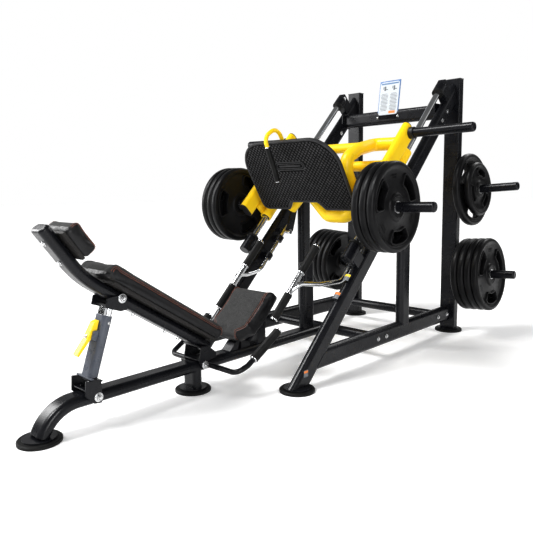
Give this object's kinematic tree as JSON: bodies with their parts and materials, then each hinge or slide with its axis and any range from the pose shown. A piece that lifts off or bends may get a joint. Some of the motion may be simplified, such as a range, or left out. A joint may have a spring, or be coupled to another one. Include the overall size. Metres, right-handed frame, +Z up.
{
  "type": "leg press machine",
  "caption": "Plate-loaded inclined leg press: sliding carriage with tilting footplate on sloping rails, adjustable backrest, seat, safety levers and weight plates on pegs.",
  "frame": {"origin": "on the floor under the centre of the front foot, in the machine's mid-plane", "axes": "+X to the side, +Y from the backrest end to the weight uprights, +Z up"},
  "size_m": [1.6184, 2.9078, 1.6389],
  "materials": {
    "frame_paint": "satin powder coat",
    "yellow_paint": "gloss powder coat",
    "chrome": "polished",
    "grey_paint": "satin powder coat",
    "rubber": "matt",
    "grip_rubber": "matt ribbed",
    "plate_rubber": "satin",
    "upholstery": "textured vinyl",
    "board": "painted plywood",
    "zinc": "zinc plated",
    "plastic": "matt",
    "card": "clear sleeve over a printed card"
  },
  "bodies": {
    "frame": {"centre_beam": "frame_paint", "left_rail": "frame_paint", "right_rail": "frame_paint", "front_sills": "frame_paint", "rear_sills": "frame_paint", "cross_tubes": "frame_paint", "posts": "frame_paint", "uprights": "frame_paint", "top_beam": "frame_paint", "foot_pads": "rubber", "foot_plates": "frame_paint", "guide_rods": "chrome", "rod_sockets": "frame_paint", "rod_top_brackets": "frame_paint", "rod_bumpers": "rubber", "storage_pegs": "frame_paint", "card_holder": "card", "end_caps": "plastic", "frame_bolts": "zinc", "seat_bracket": "frame_paint", "seat_pad": "upholstery", "handle_bars": "frame_paint", "handle_grips": "grip_rubber", "lever_bushings": "frame_paint"},
    "carriage": {"left_arm": "yellow_paint", "right_arm": "yellow_paint", "carriage_tubes": "yellow_paint", "carriage_arch": "yellow_paint", "carriage_bows": "yellow_paint", "bearing_housings": "yellow_paint", "bearing_bushes": "plastic", "carriage_pegs": "frame_paint", "carriage_caps": "plastic", "stop_hooks": "frame_paint", "footplate_shaft": "chrome", "footplate_brackets": "yellow_paint"},
    "footplate": {"footplate": "frame_paint", "footplate_lugs": "frame_paint"},
    "hook_lever": {"hook_lever": "yellow_paint", "hook_grip": "grip_rubber"},
    "backrest": {"backrest_tube": "frame_paint", "pad_boards": "board", "back_pad": "upholstery", "head_pad": "upholstery", "hinge_bracket": "frame_paint"},
    "strut_sleeve": {"strut_sleeve": "grey_paint"},
    "strut_tube": {"strut_tube": "chrome", "strut_fork": "frame_paint", "strut_head_bolt": "zinc"},
    "adjust_lever": {"adjust_lever": "yellow_paint"},
    "left_safety_lever": {"left_safety_lever": "chrome", "left_lever_grips": "grip_rubber"},
    "right_safety_lever": {"right_safety_lever": "chrome", "right_lever_grips": "grip_rubber"},
    "left_upper_plates": {"left_upper_plates": "plate_rubber"},
    "left_lower_plates": {"left_lower_plates": "plate_rubber"},
    "left_carriage_plates": {"left_carriage_plates": "plate_rubber"},
    "right_upper_plates": {"right_upper_plates": "plate_rubber"},
    "right_lower_plates": {"right_lower_plates": "plate_rubber"},
    "right_carriage_plates": {"right_carriage_plates": "plate_rubber"}
  },
  "joints": [
    {"name": "carriage_slide", "type": "slide", "parent": "frame", "child": "carriage", "axis": [0, 0.7071, 0.7071], "range_m": [0, 0.5]},
    {"name": "footplate_tilt", "type": "hinge", "parent": "carriage", "child": "footplate", "pos_m": [0, 1.59063, 0.95774], "axis": [1, 0, 0], "range_deg": [-6, 6]},
    {"name": "hook_lever_pull", "type": "hinge", "parent": "footplate", "child": "hook_lever", "pos_m": [-0.042, 1.51686, 1.07908], "axis": [1, 0, 0], "range_deg": [0, 10], "stiffness_Nm_per_rad": 8, "springref_deg": -34.38},
    {"name": "backrest_hinge", "type": "hinge", "parent": "frame", "child": "backrest", "pos_m": [0, 0.775, 0.128], "axis": [1, 0, 0], "range_deg": [-11, 3]},
    {"name": "strut_swing", "type": "hinge", "parent": "frame", "child": "strut_sleeve", "pos_m": [0, 0.222, 0.128], "axis": [1, 0, 0], "range_deg": [-7, 7]},
    {"name": "strut_extend", "type": "slide", "parent": "strut_sleeve", "child": "strut_tube", "axis": [0, 0.3125, 0.9499], "range_m": [-0.03, 0.102]},
    {"name": "adjust_lever_squeeze", "type": "hinge", "parent": "strut_sleeve", "child": "adjust_lever", "pos_m": [0, 0.23591, 0.37187], "axis": [1, 0, 0], "range_deg": [0, 8], "stiffness_Nm_per_rad": 4, "springref_deg": -17.19},
    {"name": "left_safety_swing", "type": "hinge", "parent": "frame", "child": "left_safety_lever", "pos_m": [-0.305, 1.55297, 0.49497], "axis": [0, 0.7071, 0.7071], "range_deg": [-45, 0]},
    {"name": "right_safety_swing", "type": "hinge", "parent": "frame", "child": "right_safety_lever", "pos_m": [0.305, 1.55297, 0.49497], "axis": [0, 0.7071, 0.7071], "range_deg": [0, 45]},
    {"name": "left_upper_plates_slide", "type": "slide", "parent": "frame", "child": "left_upper_plates", "axis": [-0.9976, 0, 0.0698], "range_m": [0, 0.3]},
    {"name": "left_lower_plates_slide", "type": "slide", "parent": "frame", "child": "left_lower_plates", "axis": [-0.9976, 0, 0.0698], "range_m": [0, 0.3]},
    {"name": "left_carriage_plates_slide", "type": "slide", "parent": "carriage", "child": "left_carriage_plates", "axis": [-0.9998, 0, 0.0175], "range_m": [0, 0.32]},
    {"name": "right_upper_plates_slide", "type": "slide", "parent": "frame", "child": "right_upper_plates", "axis": [0.9976, 0, 0.0698], "range_m": [0, 0.3]},
    {"name": "right_lower_plates_slide", "type": "slide", "parent": "frame", "child": "right_lower_plates", "axis": [0.9976, 0, 0.0698], "range_m": [0, 0.3]},
    {"name": "right_carriage_plates_slide", "type": "slide", "parent": "carriage", "child": "right_carriage_plates", "axis": [0.9998, 0, 0.0175], "range_m": [0, 0.32]}
  ],
  "couplings": [
    {"joint": "strut_swing", "follows": "backrest_hinge", "ratio": 0.56},
    {"joint": "strut_extend", "follows": "backrest_hinge", "m_per_rad": -0.516}
  ]
}
